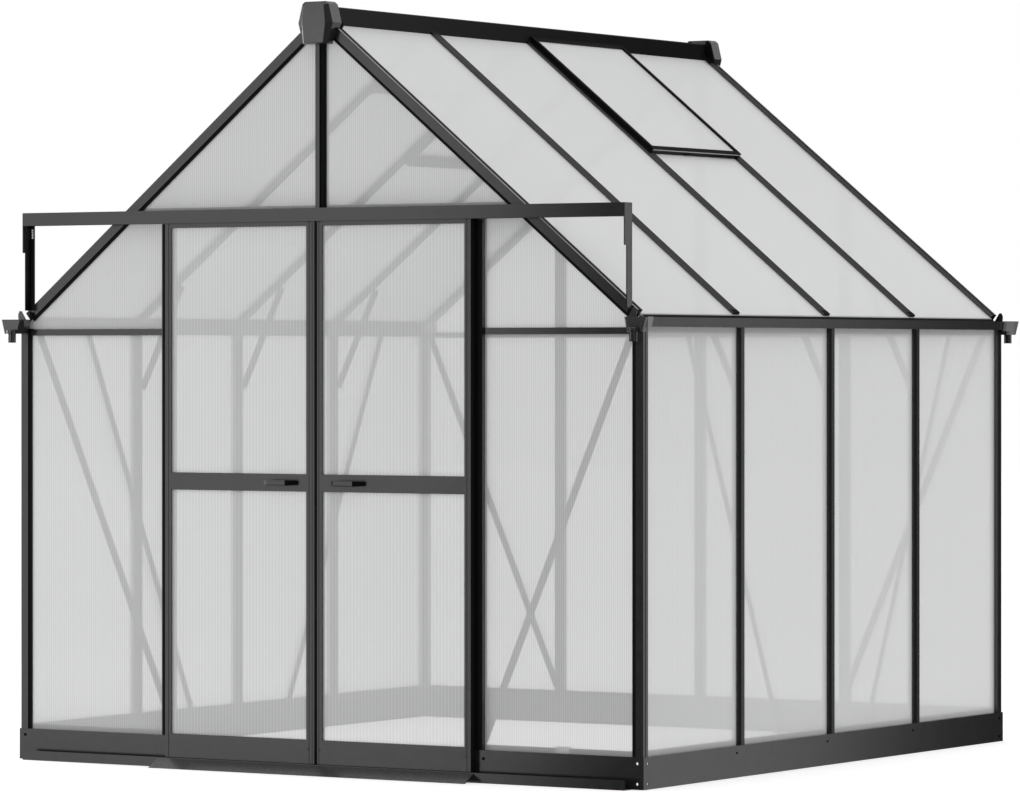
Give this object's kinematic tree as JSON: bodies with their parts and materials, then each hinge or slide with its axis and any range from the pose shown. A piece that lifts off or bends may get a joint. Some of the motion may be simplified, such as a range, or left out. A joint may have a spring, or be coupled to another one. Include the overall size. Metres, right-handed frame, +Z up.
{
  "type": "greenhouse",
  "caption": "Apex greenhouse with clear twin-wall panels in a dark frame, sliding doors on an outside track, roof vents and side gutters.",
  "frame": {"origin": "centre of the footprint (of the bounding box) on the ground", "axes": "+Z up, -Y out through the doors, +X to the right when facing the doors"},
  "size_m": [2.524, 2.6524, 2.511],
  "materials": {
    "frame": "dark grey powder-coated aluminium and steel, satin",
    "plastic_parts": "dark grey moulded plastic, fine matt grain",
    "glazing": "clear twin-wall polycarbonate sheet with fine upright flutes"
  },
  "bodies": {
    "building": {"base_front": "frame", "base_rear": "frame", "base_left": "frame", "base_right": "frame", "corner_posts": "frame", "studs_left": "frame", "studs_right": "frame", "door_jambs": "frame", "gable_studs_rear": "frame", "gable_mullion_front": "frame", "gable_rails": "frame", "door_header": "frame", "sill_rails": "frame", "eave_beam_left": "frame", "eave_beam_right": "frame", "rafters_left": "frame", "rafters_right": "frame", "gable_rafters_front": "frame", "gable_rafters_rear": "frame", "ridge_beam": "frame", "ridge_caps": "plastic_parts", "purlin_left": "frame", "wall_braces": "frame", "gable_braces": "frame", "knee_braces": "frame", "gutter_left": "frame", "gutter_right": "frame", "gutter_heads": "plastic_parts", "panes_left": "glazing", "panes_right": "glazing", "panes_front": "glazing", "panes_rear": "glazing", "roof_panes_left": "glazing", "roof_panes_right": "glazing", "vent_frames": "frame", "vent_panes": "glazing", "door_track": "frame", "track_brackets": "frame", "guide_rail": "frame", "threshold_ramp": "frame"},
    "door_left": {"door_left_frame": "frame", "door_left_panes": "glazing", "door_left_handle": "frame"},
    "door_right": {"door_right_frame": "frame", "door_right_panes": "glazing", "door_right_handle": "frame"}
  },
  "joints": [
    {"name": "door_left_slide", "type": "slide", "parent": "building", "child": "door_left", "axis": [-1, 0, 0], "range_m": [0, 0.57]},
    {"name": "door_right_slide", "type": "slide", "parent": "building", "child": "door_right", "axis": [1, 0, 0], "range_m": [0, 0.57]}
  ]
}
